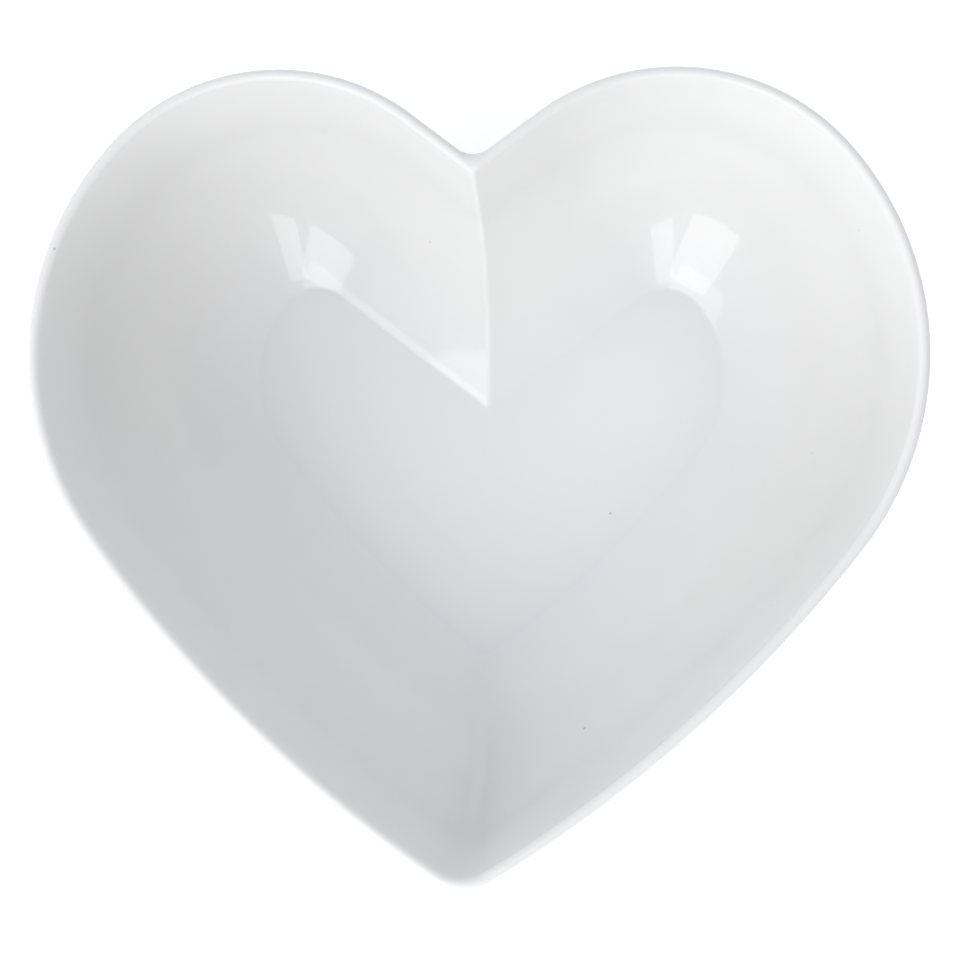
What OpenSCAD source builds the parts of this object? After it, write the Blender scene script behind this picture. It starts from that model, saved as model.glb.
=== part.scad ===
// Heart-shaped trinket bowl: one piece of glazed porcelain.
// One wall section is swept round the heart's outline, half a heart at a time.
// The origin is the middle of the face that the bowl stands on: +Y runs to the
// lobes, -Y to the tip, +Z up. All sizes are in millimetres and degrees.

/* [Outline of the rim] */
// Width across the two lobes
width = 160; // [130:1:200]
// Length from the lobes' tops to the tip
length = 145; // [118:1:180]
// Depth of the cleft, from the lobes' tops down to its corner
cleft_depth = 16.5; // [12:0.5:20]
// How far the cleft's flanks fall for each millimetre towards the middle
flank_fall = 0.75; // [0.65:0.05:0.9]
// Direction at which a lobe's arc passes into its shoulder's
shoulder_start = 41; // [25:1:55]
// How much larger a shoulder's radius is than its lobe's
shoulder_extra = 15.5; // [6:0.5:20]
// Radius of the long sides, which are almost straight
side_r = 245; // [180:5:400]
// Radius of the rounded tip
tip_r = 9.5; // [5:0.5:14]

/* [Wall and floor] */
// Height of the rim above the table
height = 54; // [44:1:66]
// Thickness of the lip, which is fully rounded
lip_t = 2.2; // [1.8:0.1:3.5]
// Thickness of the wall where it meets the floor
base_t = 4.2; // [3:0.1:6]
// Slope of the wall just under the lip
rim_slope = 78; // [70:1:84]
// Length of the straight stretch of wall under the lip
straight_l = 18; // [8:0.5:22]
// Radius of the floor's own lobes, at the foot of the wall
floor_lobe_r = 8; // [5:0.5:12]
// Thickness of the floor
floor_t = 4; // [3:0.1:6]

/* [Foot ring] */
// Height of the ring under the floor
foot_h = 2.2; // [1.5:0.1:4]
// Width of the ring's resting face
foot_w = 3.6; // [2.5:0.1:5]

/* [Hidden] */
$fn = 96;

// Steps along each curve of the wall section
wall_steps = 10;
lip_steps = 8;
// Steps along each arc of the floor slab's hidden edge
slab_steps = 4;
// Larger than the whole bowl
far = 2 * (width + length);

// Lobe: its arc touches the flank, and the cleft's corner is at its depth
flank_slope = atan(flank_fall);
middle_x = width / 2 - shoulder_extra * (1 - cos(shoulder_start));
lobe_r = hundredths((middle_x * sin(flank_slope) - cleft_depth * cos(flank_slope))
    / (1 + sin(flank_slope) - cos(flank_slope)));
shoulder_r = lobe_r + shoulder_extra;
shoulder_spot = [middle_x - lobe_r, length / 2 - lobe_r] - shoulder_extra * along(shoulder_start);

// Side: its arc touches both the shoulder and the tip's round
tip_c = [0, tip_r - length / 2];
tip_reach = side_r - tip_r;
shoulder_reach = side_r - shoulder_r;
span = shoulder_spot - tip_c;
side_bearing = bearing(span)
    + acos((tip_reach ^ 2 + span * span - shoulder_reach ^ 2) / (2 * tip_reach * norm(span)));
tip_start = hundredths(side_bearing - 180);
side_start = hundredths(bearing(span - tip_reach * along(side_bearing)));

// Each arc's centre, from the tip up, so that every arc starts where the last ends
side_c = tip_c - tip_reach * along(tip_start);
shoulder_c = side_c + shoulder_reach * along(side_start);
lobe_c = shoulder_c + shoulder_extra * along(shoulder_start);
flank_start = 90 + flank_slope;

// Section: a point is [distance in from the rim's outer edge, height]
floor_z = foot_h + floor_t;
lip_z = height - lip_t / 2;
wall_run = lobe_r - floor_lobe_r;
inner_top = [lip_t, lip_z];
inner_foot = [wall_run, floor_z];
base_slope = foot_slope(inner_top, inner_foot);
outer_top = [0, lip_z];
outer_foot = inner_foot - base_t * [sin(base_slope), cos(base_slope)];
foot_end = outer_foot[0] + foot_w;

// Arcs that meet share round numbers, so that their faces match exactly
function hundredths(v) = round(v * 100) / 100;
function along(a) = [cos(a), sin(a)];
function bearing(v) = atan2(v[1], v[0]);

// The wall's line from the lip to the foot: straight, then one tangent arc
function bend_point(top) = top + straight_l * [cos(rim_slope), -sin(rim_slope)];
function chord_slope(top, foot) = -bearing(foot - bend_point(top));
function foot_slope(top, foot) = 2 * chord_slope(top, foot) - rim_slope;
function wall_line(top, foot) =
    let (
        start = bend_point(top),
        turn = rim_slope - foot_slope(top, foot),
        r = norm(foot - start) / (2 * sin(turn / 2)),
        centre = start + r * [sin(rim_slope), cos(rim_slope)]
    )
    [
        top,
        for (i = [0 : wall_steps])
            let (a = rim_slope - turn * i / wall_steps)
            centre - r * [sin(a), cos(a)]
    ];

// The lip's round, from its outer side over to its inner side
lip_line = [
    for (i = [1 : lip_steps - 1])
        [lip_t / 2, lip_z] + lip_t / 2 * along(180 - 180 * i / lip_steps)
];

function reverse(list) = [for (i = [len(list) - 1 : -1 : 0]) list[i]];

// Foot ring, outer side, lip and inner side, as one outline
section = concat(
    [[foot_end, floor_z], [foot_end, 0], [outer_foot[0], 0]],
    reverse(wall_line(outer_top, outer_foot)),
    lip_line,
    wall_line(inner_top, inner_foot)
);

// The section on an arc of radius r, short of the arc's centre
module section_at(r) {
    intersection() {
        translate([r, 0])
            mirror([1, 0])
                polygon(section);
        square([far, height]);
    }
}

// Places its children at a point in the plan, whole millimetres first
module at(point) {
    whole = [floor(point[0]), floor(point[1])];
    translate(whole)
        translate(point - whole)
            children();
}

// The section swept about a centre, between two directions
module swept(centre, r, from, to) {
    at(centre)
        rotate_extrude(start = from, angle = to - from)
            section_at(r);
}

// The straight flank, from the lobe's arc down past the middle of the cleft
module flank() {
    at(lobe_c)
        rotate([0, 0, flank_start])
            rotate([90, 0, 0])
                mirror([0, 0, 1])
                    linear_extrude(lobe_c[0] * 2)
                        section_at(lobe_r);
}

// An outline parallel to the rim, as straight steps between the arcs' own points
function arc_points(centre, r, from, to) =
    [for (i = [0 : slab_steps]) centre + r * along(from + (to - from) * i / slab_steps)];
function half_plan(inset) =
    let (
        top = lobe_c + (lobe_r - inset) * along(flank_start),
        corner = [0, top[1] - top[0] * tan(flank_slope)],
        // The side's arc stops in the middle plane, where the other half's begins
        side_end = -acos(-side_c[0] / (side_r - inset)),
        side_points = arc_points(side_c, side_r - inset, side_start, side_end)
    )
    concat(
        [corner],
        arc_points(lobe_c, lobe_r - inset, flank_start, shoulder_start),
        arc_points(shoulder_c, shoulder_r - inset, shoulder_start, side_start),
        side_points
    );

// The floor inside the foot ring: its edge runs within the ring
module floor_slab() {
    translate([0, 0, foot_h])
        linear_extrude(floor_t)
            polygon(half_plan((wall_run + foot_end) / 2));
}

// What lies on the +X side of the middle: there a wall ends in a mitre
module right_side() {
    intersection() {
        translate([0, -far / 2, 0])
            cube([far, far, height]);
        children();
    }
}

module half_bowl() {
    right_side() flank();
    swept(lobe_c, lobe_r, shoulder_start, flank_start);
    swept(shoulder_c, shoulder_r, side_start, shoulder_start);
    right_side() swept(side_c, side_r, tip_start, side_start);
    floor_slab();
}

// The rounded tip joins the two halves
module bowl() {
    color("white") {
        half_bowl();
        mirror([1, 0, 0])
            half_bowl();
        swept(tip_c, tip_r, -180 - tip_start, tip_start);
    }
}

bowl();
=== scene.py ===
# Heart-shaped trinket bowl in white glazed porcelain, standing on a pale floor.
import math

import bpy
from mathutils import Euler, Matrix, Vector


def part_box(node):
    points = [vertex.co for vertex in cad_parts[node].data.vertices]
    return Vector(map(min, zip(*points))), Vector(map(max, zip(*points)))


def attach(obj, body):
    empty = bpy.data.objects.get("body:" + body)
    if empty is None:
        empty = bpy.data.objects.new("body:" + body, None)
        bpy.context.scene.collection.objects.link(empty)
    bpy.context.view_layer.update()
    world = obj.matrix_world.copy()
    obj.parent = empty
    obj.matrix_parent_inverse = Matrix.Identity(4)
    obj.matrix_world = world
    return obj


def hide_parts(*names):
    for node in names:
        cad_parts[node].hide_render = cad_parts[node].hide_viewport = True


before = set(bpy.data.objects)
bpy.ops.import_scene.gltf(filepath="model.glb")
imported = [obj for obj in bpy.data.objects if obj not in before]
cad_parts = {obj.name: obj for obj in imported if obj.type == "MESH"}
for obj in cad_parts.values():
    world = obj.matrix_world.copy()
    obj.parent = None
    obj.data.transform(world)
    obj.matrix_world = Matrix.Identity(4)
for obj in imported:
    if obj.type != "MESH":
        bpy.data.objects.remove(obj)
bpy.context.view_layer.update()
cadLow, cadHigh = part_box("bowl")
print("frame loaded")


# A node's socket that Python's own arithmetic extends with more nodes
class Value:
    def __init__(self, graph, socket):
        self.graph, self.socket = graph, socket

    def math(self, operation, *others):
        return self.graph.maths(operation, self, *others)

    def __add__(self, other):
        return self.math("ADD", other)

    def __sub__(self, other):
        return self.math("SUBTRACT", other)

    def __mul__(self, other):
        return self.math("MULTIPLY", other)

    def __truediv__(self, other):
        return self.math("DIVIDE", other)

    def __rsub__(self, other):
        return self.graph.maths("SUBTRACT", other, self)

    def __rtruediv__(self, other):
        return self.graph.maths("DIVIDE", other, self)

    __radd__ = __add__
    __rmul__ = __mul__

    def clamped(self):
        result = self.math("ADD", 0.0)
        result.socket.node.use_clamp = True
        return result


# A node tree and the one way that nodes are put in it
class Graph:
    def __init__(self, tree):
        self.tree = tree
        self.count = 0

    def add(self, kind, settings=None, **links):
        node = self.tree.nodes.new(kind)
        node.location = (self.count % 16 * 190, -(self.count // 16) * 240)
        self.count += 1
        for name, value in (settings or {}).items():
            setattr(node, name, value)
        for name, value in links.items():
            self.link(node.inputs[name.replace("_", " ")], value)
        return node

    def link(self, socket, value):
        if isinstance(value, Value):
            value = value.socket
        if isinstance(value, bpy.types.NodeSocket):
            self.tree.links.new(value, socket)
        else:
            socket.default_value = value

    def value(self, node, output=0):
        return Value(self, node.outputs[output])

    def maths(self, operation, *values):
        node = self.add("ShaderNodeMath", {"operation": operation})
        for place, value in enumerate(values):
            self.link(node.inputs[place], value)
        return self.value(node)

    def mixed(self, factor, first, second):
        node = self.add("ShaderNodeMix", {"data_type": "RGBA"})
        self.link(node.inputs[0], factor)
        self.link(node.inputs[6], first)
        self.link(node.inputs[7], second)
        return self.value(node, 2)

    # 0 below low, 1 above high, and a smooth rise between them
    def ramp(self, value, low, high):
        node = self.add("ShaderNodeMapRange", {"interpolation_type": "SMOOTHSTEP"})
        for place, number in enumerate((value, low, high, 0.0, 1.0)):
            self.link(node.inputs[place], number)
        return self.value(node)


def sine(angle):
    return angle.math("SINE") if isinstance(angle, Value) else math.sin(angle)


def cosine(angle):
    return angle.math("COSINE") if isinstance(angle, Value) else math.cos(angle)


def root(number):
    return number.math("SQRT")


# The bowl's shape in metres and radians. Its outline and section are those of the CAD bowl.
bowlShape = {
    "width": cadHigh.x - cadLow.x - 0.0001,
    "length": cadHigh.y - cadLow.y - 0.0001,
    "height": cadHigh.z - cadLow.z - 0.00004,
    "cleftDepth": 0.0165,
    "flankFall": 0.75,
    "shoulderStart": math.radians(41),
    "shoulderExtra": 0.0155,
    "sideRadius": 0.245,
    "tipRadius": 0.0095,
    "lipThickness": 0.0022,
    "baseThickness": 0.0042,
    "rimSlope": math.radians(78),
    "straightLength": 0.018,
    "floorLobeRadius": 0.008,
    "floorThickness": 0.004,
    "footHeight": 0.0022,
    "footWidth": 0.0036,
    "notchRadius": 0.0050,  # round of the cleft, outside and at the lip
    "ridgeRadius": 0.0010,  # round of the ridge inside the cleft
    "valleyRadius": 0.0030,  # round of the tip's valley near the floor
    "valleyBlend": 0.004,  # how gently the tip's round becomes the valley's
    "floorRound": 0.0036,  # round between the floor and the wall
    "edgeRound": 0.0006,  # glaze-softened edges of the foot ring
    "poleShift": -0.06,  # where the floor closes, as a share of the length from the middle
    "waviness": 0.00016,  # how far the cast surface wanders, from crest to trough
    "waveScale": 38.0,  # waves to the metre
    "calmFoot": 0.004,  # height over which the waves grow from nothing
    "calmLip": 0.005,  # depth below the lip over which they do
    "lipCalm": 0.8,  # share of the waves that the lip lacks
    "floorPoolAndShade": 0.6,  # how strongly the floor and low wall take the thick glaze's bluish tint and painted shade
    "edgePoolAndShade": 0.25,  # and how much more along the floor's edge, where it is painted shade in the crease
}
seamGap = 0.000002  # points nearer than this are one point
# Steps along each stretch of half the outline, from the cleft to the tip
outlineSteps = {"notch": 10, "flank": 22, "lobe": 40, "shoulder": 20, "side": 44, "tip": 14}
# Steps along each stretch of the wall, from the floor's middle to the underside's
wallSteps = {
    "floor": 8, "floorRound": 10, "innerWall": 40, "innerStraight": 6, "lip": 18,
    "outerStraight": 6, "outerWall": 36, "footRound": 6, "footSide": 1, "outerEdge": 5,
    "footFace": 3, "innerEdge": 5, "recess": 1, "recessRound": 5, "underside": 8,
}


# The share, 0 to 1, that each stretch has run at a given step
def stretches(step, steps):
    shares, start = {}, 0
    for name, count in steps.items():
        shares[name] = ((step - start) / count).clamped()
        start += count
    return shares


# How far a point on an arc has moved in each direction since the arc's start
def arcMove(share, radius, start, end):
    angle = start + (end - start) * share
    return radius * (cosine(angle) - cosine(start)), radius * (sine(angle) - sine(start))


# The tree makes half the bowl from a flat grid, and mirrors it
def bowlTree():
    tree = bpy.data.node_groups.new("heartBowl", "GeometryNodeTree")
    tree.interface.new_socket(name="Geometry", in_out="OUTPUT", socket_type="NodeSocketGeometry")
    for name in bowlShape:
        tree.interface.new_socket(name=name, in_out="INPUT", socket_type="NodeSocketFloat")
    tree.interface.new_socket(name="seed", in_out="INPUT", socket_type="NodeSocketFloat")
    tree.interface.new_socket(name="glaze", in_out="INPUT", socket_type="NodeSocketMaterial")
    graph = Graph(tree)
    given = graph.add("NodeGroupInput")
    size = {name: Value(graph, given.outputs[name]) for name in bowlShape}
    quarter = math.pi / 2

    # Outline of the rim: flank, lobe, shoulder, side and tip, each tangent to the next
    slope = size["flankFall"].math("ARCTANGENT")
    start, extra = size["shoulderStart"], size["shoulderExtra"]
    middleX = size["width"] / 2 - extra * (1 - cosine(start))
    lobeR = (middleX * sine(slope) - size["cleftDepth"] * cosine(slope)) / (
        1 + sine(slope) - cosine(slope))
    shoulderR = lobeR + extra
    lobeX, lobeY = middleX - lobeR, size["length"] / 2 - lobeR
    shoulderX, shoulderY = lobeX - extra * cosine(start), lobeY - extra * sine(start)
    tipReach = size["sideRadius"] - size["tipRadius"]
    shoulderReach = size["sideRadius"] - shoulderR
    spanX, spanY = shoulderX, shoulderY - size["tipRadius"] + size["length"] / 2
    spanLength = root(spanX * spanX + spanY * spanY)
    opening = (tipReach * tipReach + spanLength * spanLength - shoulderReach * shoulderReach) / (
        2 * tipReach * spanLength)
    sideBearing = spanY.math("ARCTAN2", spanX) + opening.math("ARCCOSINE")
    sideX = tipReach * cosine(sideBearing)
    sideY = size["tipRadius"] - size["length"] / 2 + tipReach * sine(sideBearing)
    sideStart = (shoulderY - sideY).math("ARCTAN2", shoulderX - sideX)

    # Section of the wall: how far in from the rim, and how high
    lipZ = size["height"] - size["lipThickness"] / 2
    floorZ = size["footHeight"] + size["floorThickness"]
    wallRun = lobeR - size["floorLobeRadius"]
    steep = size["rimSlope"]
    straightIn, straightDown = size["straightLength"] * cosine(steep), size["straightLength"] * sine(steep)

    # The arc from the straight stretch down to a foot: its centre, radius and foot slope
    def wallArc(topIn, footIn, footZ):
        bendIn, bendZ = topIn + straightIn, lipZ - straightDown
        runIn, fall = footIn - bendIn, bendZ - footZ
        footSlope = 2 * fall.math("ARCTAN2", runIn) - steep
        radius = root(runIn * runIn + fall * fall) / (2 * sine((steep - footSlope) / 2))
        return bendIn + radius * sine(steep), bendZ + radius * cosine(steep), radius, footSlope

    innerX, innerZ, innerR, baseSlope = wallArc(size["lipThickness"], wallRun, floorZ)
    footIn = wallRun - size["baseThickness"] * sine(baseSlope)
    footZ = floorZ - size["baseThickness"] * cosine(baseSlope)
    outerX, outerZ, outerR, _ = wallArc(0.0, footIn, footZ)

    columns, rows = sum(outlineSteps.values()), sum(wallSteps.values())
    grid = graph.add("GeometryNodeMeshGrid", Size_X=columns, Size_Y=rows,
                     Vertices_X=columns + 1, Vertices_Y=rows + 1)
    spot = graph.add("ShaderNodeSeparateXYZ", Vector=graph.add("GeometryNodeInputPosition").outputs[0])
    around = stretches(graph.value(spot, 0) + columns / 2, outlineSteps)
    along = stretches(graph.value(spot, 1) + rows / 2, wallSteps)

    # Along the section from the floor's edge: each stretch moves the point on
    softR = size["floorRound"]
    roundSlope = ((innerZ - floorZ - softR) / (innerR - softR)).math("ARCCOSINE")
    inward, height = innerX - (innerR - softR) * sine(roundSlope), floorZ
    lipR = size["lipThickness"] * sine(steep) / 2
    lipLean = lipR * cosine(steep)
    underLip = straightDown + size["height"] - lipR - lipZ
    leaning = cosine(steep) / sine(steep)
    edge = size["edgeRound"]
    meetSlope = ((outerX - footIn + edge) / (outerR + edge)).math("ARCSINE")
    sideTop = outerZ - (outerR + edge) * cosine(meetSlope)

    def arc(name, radius, startAngle, endAngle):
        return arcMove(along[name], radius, startAngle, endAngle)

    def line(name, moveIn, moveUp):
        return along[name] * moveIn, along[name] * moveUp

    for moveIn, moveUp in (
        arc("floorRound", softR, -quarter, -quarter - roundSlope),
        arc("innerWall", innerR, -quarter - roundSlope, -quarter - steep),
        line("innerStraight", -1 * leaning * (underLip + lipLean), underLip + lipLean),
        arc("lip", lipR, quarter - steep, 3 * quarter - steep),
        line("outerStraight", leaning * (underLip - lipLean), lipLean - underLip),
        arc("outerWall", outerR, -quarter - steep, -quarter - meetSlope),
        arc("footRound", edge, quarter - meetSlope, 0.0),
        line("footSide", 0.0, edge - sideTop),
        arc("outerEdge", edge, 2 * quarter, 3 * quarter),
        line("footFace", size["footWidth"] - 2 * edge, 0.0),
        arc("innerEdge", edge, -quarter, 0.0),
        line("recess", 0.0, size["footHeight"] - 2 * edge),
        arc("recessRound", edge, 2 * quarter, quarter),
    ):
        inward, height = inward + moveIn, height + moveUp

    # Round the outline at that distance in, from the cleft to the tip
    notchR = size["ridgeRadius"] + (size["notchRadius"] - size["ridgeRadius"]) * along["lip"]
    topX = lobeX - (lobeR - inward) * sine(slope)
    topY = lobeY + (lobeR - inward) * cosine(slope)
    flankRun = topX / cosine(slope) - notchR * sine(slope) / cosine(slope)
    tipR = (size["tipRadius"] - inward).math("SMOOTH_MAX", size["valleyRadius"], size["valleyBlend"])
    sideSpan = size["sideRadius"] - inward - tipR
    tipY = sideY - root(sideSpan * sideSpan - sideX * sideX)
    tipStart = (tipY - sideY).math("ARCTAN2", -1 * sideX)
    x, y = 0.0, topY - topX * sine(slope) / cosine(slope) + notchR / cosine(slope) - notchR
    for moveX, moveY in (
        arcMove(around["notch"], notchR, -quarter, slope - quarter),
        (around["flank"] * flankRun * cosine(slope), around["flank"] * flankRun * sine(slope)),
        arcMove(around["lobe"], lobeR - inward, slope + quarter, start),
        arcMove(around["shoulder"], shoulderR - inward, start, sideStart),
        arcMove(around["side"], size["sideRadius"] - inward, sideStart, tipStart),
        arcMove(around["tip"], tipR, tipStart, -quarter),
    ):
        x, y = x + moveX, y + moveY

    # Floor and underside close towards a point on the middle line
    spread = along["floor"] * (1 - along["underside"])
    poleY = size["length"] * size["poleShift"]
    x, y = x * spread, poleY + (y - poleY) * spread

    # Masks for the glaze, stored while the grid is still flat: thick glaze's bluish tint with painted
    # shade on the floor, most in the crease along its edge;
    # thin, duller glaze on the cleft's ridge; and from the lip's first third outwards, duller glaze with
    # painted shade
    floorEdge = along["floorRound"] * (1 - along["floorRound"]) * 4
    lowWall = 1 - along["innerWall"]
    # Painted shade with the thick glaze's bluish tint: full on the floor, fading up the low wall,
    # strongest in the crease at the floor's edge
    pooledGlazeAndShade = lowWall * lowWall * lowWall * size["floorPoolAndShade"] + floorEdge * size["edgePoolAndShade"]
    crest = (1 - around["notch"]) * along["floorRound"] * (1 - along["lip"])
    # From the lip's first third outwards: duller thin glaze, and painted shade on the lip's top and outer
    # side
    thinBrimAndShade = (3 * along["lip"]).clamped() * (1 - along["outerStraight"])
    marked = grid
    for name, mask in (("pooledGlazeAndShade", pooledGlazeAndShade), ("crest", crest), ("thinBrimAndShade", thinBrimAndShade)):
        marked = graph.add("GeometryNodeStoreNamedAttribute", {"data_type": "FLOAT"},
                           Geometry=marked.outputs[0], Name=name, Value=mask)
    place = graph.add("ShaderNodeCombineXYZ", X=x, Y=y, Z=height)
    moved = graph.add("GeometryNodeSetPosition", Geometry=marked.outputs[0], Position=place.outputs[0])
    mirrored = graph.add("GeometryNodeTransform", Geometry=moved.outputs[0], Scale=(-1, 1, 1))
    flipped = graph.add("GeometryNodeFlipFaces", Mesh=mirrored.outputs[0])
    joined = graph.add("GeometryNodeJoinGeometry", Geometry=moved.outputs[0])
    tree.links.new(flipped.outputs[0], joined.inputs[0])
    merged = graph.add("GeometryNodeMergeByDistance", Geometry=joined.outputs[0], Distance=seamGap)

    # The surface wanders a little, as a cast and glazed wall does, but hardly at foot and lip
    here = graph.add("ShaderNodeSeparateXYZ", Vector=graph.add("GeometryNodeInputPosition").outputs[0])
    level = graph.value(here, 2)
    nearLip = 1 - graph.ramp(size["height"] - level, 0.1 * size["calmLip"], size["calmLip"])
    loose = graph.ramp(level, 0.0, size["calmFoot"]) * (1 - size["lipCalm"] * nearLip)
    noise = graph.add("ShaderNodeTexNoise", {"noise_dimensions": "4D"},
                      W=given.outputs["seed"], Scale=size["waveScale"], Detail=1.0)
    wander = graph.add("ShaderNodeVectorMath", {"operation": "SCALE"},
                       Vector=graph.add("GeometryNodeInputNormal").outputs[0],
                       Scale=(graph.value(noise) - 0.5) * size["waviness"] * loose)
    waved = graph.add("GeometryNodeSetPosition", Geometry=merged.outputs[0], Offset=wander.outputs[0])
    smooth = graph.add("GeometryNodeSetShadeSmooth", Geometry=waved.outputs[0])
    real = graph.add("GeometryNodeRealizeInstances", Geometry=smooth.outputs[0])
    painted = graph.add("GeometryNodeSetMaterial", Geometry=real.outputs[0],
                        Material=given.outputs["glaze"])
    result = graph.add("NodeGroupOutput")
    tree.links.new(painted.outputs[0], result.inputs[0])
    return tree


# The bowl's glaze. Sizes and heights are in metres, and a scale is in waves to the metre.
bowlGlaze = {
    "white": (0.733, 0.733, 0.730, 1),
    "pooledTintAndShade": (0.695, 0.70, 0.742, 1),  # bluish tint of thicker glaze, darkened as painted shade, on the floor and most along its edge
    "lipShade": (0.65, 0.65, 0.66, 1),  # painted shade over the lip's top and outer side
    "bareClay": (0.72, 0.68, 0.62, 1),  # unglazed resting face
    "bareHeight": (0.00006, 0.00022),  # where the bare clay ends and the full glaze begins
    "speck": (0.36, 0.33, 0.30, 1),
    "speckStrength": 0.7,
    "speckSize": 0.00030,
    "speckSpacing": 0.011,
    "speckShare": 0.85,  # share of the cells that hold a speck
    "speckSink": 0.00006,  # how deep a speck lies in the glaze
    "slowScale": 16.0, "slowShade": 0.035,  # slow drift of the tone
    "cloudScale": 85.0, "cloudShade": 0.02,  # finer cloudiness
    "rippleScale": 55.0, "rippleHeight": 0.00022,  # long soft waves of the glaze
    "peelScale": 420.0, "peelHeight": 0.000006,  # faint orange peel
    "gritScale": 900.0, "gritHeight": 0.00006,  # bare clay
    "gloss": 0.045,
    "crestDull": 0.85, "brimDull": 0.85,  # how much of the gloss the ridge and the brim lack
    "bodyRoughness": 0.32,
    "cloudRough": 0.08, "bareRough": 0.4, "crestRough": 0.3, "brimRough": 0.2,  # added to the body's
}


def glazeMaterial():
    material = bpy.data.materials.new("glazedPorcelain")
    material.use_nodes = True
    material.node_tree.nodes.clear()
    graph = Graph(material.node_tree)
    look = bowlGlaze
    place = graph.add("ShaderNodeTexCoord").outputs["Object"]
    level = graph.value(graph.add("ShaderNodeSeparateXYZ", Vector=place), 2)

    def noise(scale, detail):
        return graph.value(graph.add("ShaderNodeTexNoise", Vector=place, Scale=scale, Detail=detail))

    # Where the glaze is thick, thin or missing, and where shade is painted on the floor and over the lip
    pooledGlazeAndShade, crest, thinBrimAndShade = (graph.value(graph.add("ShaderNodeAttribute", {"attribute_name": name}), 2)
                         for name in ("pooledGlazeAndShade", "crest", "thinBrimAndShade"))
    bare = 1 - graph.ramp(level, *look["bareHeight"])

    # Slow drift of tone, and a finer cloudiness in the glaze
    slow, cloud = noise(look["slowScale"], 2.0), noise(look["cloudScale"], 4.0)
    tone = 1 - look["slowShade"] * slow - look["cloudShade"] * cloud

    # Specks in the clay's depth: one shows only where the surface cuts through it
    density = 1 / look["speckSpacing"]
    cells = graph.add("ShaderNodeTexVoronoi", Vector=place, Scale=density)
    chosen = graph.add("ShaderNodeSeparateColor", Color=cells.outputs["Color"])
    wanted = graph.ramp(graph.value(chosen), 1 - look["speckShare"], 1.001 - look["speckShare"])
    radius = look["speckSize"] * density * (0.6 + 0.8 * graph.value(chosen, 1))
    speck = wanted * (1 - graph.ramp(graph.value(cells) / radius, 0.5, 1.0))

    # Painted shade: a darker, bluish white on the floor and in the crease along its edge
    white = graph.mixed(pooledGlazeAndShade, look["white"], look["pooledTintAndShade"])
    # Painted shade: a darker white over the lip's top and outer side
    white = graph.mixed(thinBrimAndShade, white, look["lipShade"])
    white = graph.mixed(speck * look["speckStrength"], white, look["speck"])
    shade = graph.add("ShaderNodeVectorMath", {"operation": "SCALE"}, Vector=white, Scale=tone)
    colour = graph.mixed(bare, shade.outputs[0], look["bareClay"])

    # Glaze lies in long soft waves with a faint orange peel; bare clay is gritty
    relief = (noise(look["rippleScale"], 1.0) * look["rippleHeight"]
              + noise(look["peelScale"], 1.0) * look["peelHeight"]
              - speck * look["speckSink"]
              + bare * noise(look["gritScale"], 3.0) * look["gritHeight"])
    bump = graph.add("ShaderNodeBump", Strength=1.0, Distance=1.0, Height=relief)

    roughness = (look["bodyRoughness"] + look["cloudRough"] * cloud + look["bareRough"] * bare
                 + look["crestRough"] * crest + look["brimRough"] * thinBrimAndShade)
    coat = (1 - bare) * (1 - look["crestDull"] * crest) * (1 - look["brimDull"] * thinBrimAndShade)
    shader = graph.add("ShaderNodeBsdfPrincipled", Base_Color=colour, Roughness=roughness, IOR=1.45,
                       Coat_Weight=coat, Coat_Roughness=look["gloss"], Coat_IOR=1.5,
                       Normal=bump.outputs[0])
    graph.add("ShaderNodeOutputMaterial", Surface=shader.outputs[0])
    return material


# Builds the bowl with its tree, and keeps the result as a plain mesh
def makeBowl():
    holder = bpy.data.objects.new("bowlSource", bpy.data.meshes.new("bowlSource"))
    bpy.context.scene.collection.objects.link(holder)
    tree = bowlTree()
    modifier = holder.modifiers.new("heartBowl", "NODES")
    modifier.node_group = tree
    inputs = dict(bowlShape, seed=7.0, glaze=glazeMaterial())
    for item in tree.interface.items_tree:
        if item.in_out == "INPUT":
            modifier[item.identifier] = inputs[item.name]
    evaluated = holder.evaluated_get(bpy.context.evaluated_depsgraph_get())
    bowl = bpy.data.objects.new("glazedBowl", bpy.data.meshes.new_from_object(evaluated))
    bpy.data.objects.remove(holder)
    bpy.context.scene.collection.objects.link(bowl)
    return bowl


bowl = makeBowl()
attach(bowl, "root")
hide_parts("bowl")
print("bowl made:", len(bowl.data.polygons), "faces")


# The pale floor, which glows a little so that it stays white
floorLook = {"white": (0.97, 0.97, 0.97, 1), "glow": 0.14, "reach": 2.2,
             "roughness": 0.75, "roughnessDrift": 0.05, "driftScale": 3.0}


def makeFloor():
    material = bpy.data.materials.new("paleFloor")
    material.use_nodes = True
    material.node_tree.nodes.clear()
    graph = Graph(material.node_tree)
    place = graph.add("ShaderNodeTexCoord").outputs["Object"]
    drift = graph.value(graph.add("ShaderNodeTexNoise", Vector=place, Scale=floorLook["driftScale"],
                                  Detail=2.0))
    shader = graph.add("ShaderNodeBsdfPrincipled", Base_Color=floorLook["white"],
                       Roughness=floorLook["roughness"] + floorLook["roughnessDrift"] * drift,
                       Emission_Color=floorLook["white"], Emission_Strength=floorLook["glow"])
    graph.add("ShaderNodeOutputMaterial", Surface=shader.outputs[0])
    reach = floorLook["reach"]
    mesh = bpy.data.meshes.new("paleFloor")
    mesh.from_pydata([(-reach, -reach, 0), (reach, -reach, 0), (reach, reach, 0), (-reach, reach, 0)],
                     [], [(0, 1, 2, 3)])
    mesh.materials.append(material)
    floor = bpy.data.objects.new("paleFloor", mesh)
    bpy.context.scene.collection.objects.link(floor)
    return floor


makeFloor()
print("floor made")


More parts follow.
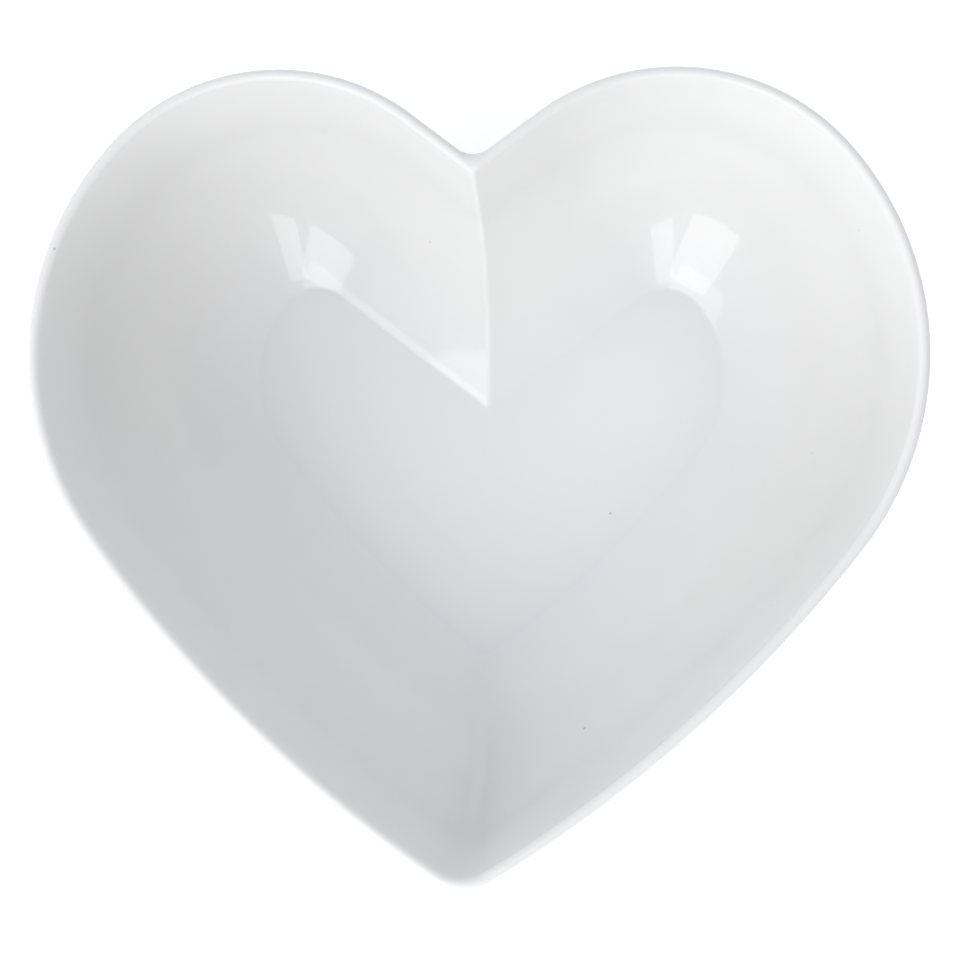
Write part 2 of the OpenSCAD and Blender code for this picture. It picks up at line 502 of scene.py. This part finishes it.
# Each light faces the bowl: where it is, its width and height, and its power.
# A fill light isn't mirrored in the glaze.
studioLights = {
    "frontWindowLeft": {"at": (-0.56, -1.06, 0.94), "size": (0.86, 1.35), "watts": 6.2},
    "frontWindowRight": {"at": (0.14, -1.19, 0.94), "size": (0.36, 1.35), "watts": 2.6},
    "skylight": {"at": (-0.36, -0.46, 1.10), "size": (0.72, 0.42), "watts": 1.35},
    "frontFill": {"at": (-0.5, -1.3, 0.75), "size": (1.4, 1.2), "watts": 8.4, "mirrored": False},
    "leftFill": {"at": (-1.5, 0.6, 0.9), "size": (1.4, 1.4), "watts": 9.8, "mirrored": False},
    "topFill": {"at": (0.6, 0.1, 1.4), "size": (1.2, 1.2), "watts": 1.7, "mirrored": False},
    "backFill": {"at": (0.5, 1.55, 0.9), "size": (1.4, 1.4), "watts": 4.9, "mirrored": False,
                 "colour": (0.82, 0.88, 1.0)},
}
roomLight = {"colour": (1, 1, 1, 1), "strength": 0.685}


def makeLights():
    for name, facts in studioLights.items():
        light = bpy.data.lights.new(name, "AREA")
        light.shape = "RECTANGLE"
        light.size, light.size_y = facts["size"]
        light.energy = facts["watts"]
        light.color = facts.get("colour", (1, 1, 1))
        lamp = bpy.data.objects.new(name, light)
        lamp.visible_glossy = facts.get("mirrored", True)
        lamp.location = facts["at"]
        aim = Vector((0, 0, cadHigh.z / 2)) - lamp.location
        lamp.rotation_euler = aim.to_track_quat("-Z", "Y").to_euler()
        bpy.context.scene.collection.objects.link(lamp)
    world = bpy.data.worlds.new("room")
    world.use_nodes = True
    background = world.node_tree.nodes["Background"]
    background.inputs["Color"].default_value = roomLight["colour"]
    background.inputs["Strength"].default_value = roomLight["strength"]
    bpy.context.scene.world = world
    bpy.context.scene.view_settings.view_transform = "Standard"


makeLights()
print("lights made")


# Almost straight above the bowl, a little to its right
cameraView = {"aboveRim": 0.2996, "offset": (-0.0017517, 0.0339159), "middleY": 0.0331,
              "tilt": (-0.035, -0.0818), "roll": -0.0153, "lens": 63.75}


def makeCamera():
    lens = bpy.data.cameras.new("camera")
    lens.lens, lens.sensor_width = cameraView["lens"], 36
    lens.clip_start = 0.01
    camera = bpy.data.objects.new("camera", lens)
    turn = (Euler((0, 0, cameraView["roll"])).to_matrix()
            @ Euler((cameraView["tilt"][0], 0, 0)).to_matrix()
            @ Euler((0, cameraView["tilt"][1], 0)).to_matrix()).transposed()
    shiftX, shiftY = cameraView["offset"]
    spot = turn @ Vector((-shiftX, -shiftY, cameraView["aboveRim"]))
    camera.location = spot + Vector((0, cameraView["middleY"], cadHigh.z))
    camera.rotation_euler = turn.to_euler()
    bpy.context.scene.collection.objects.link(camera)
    bpy.context.scene.camera = camera


makeCamera()
print("camera set")
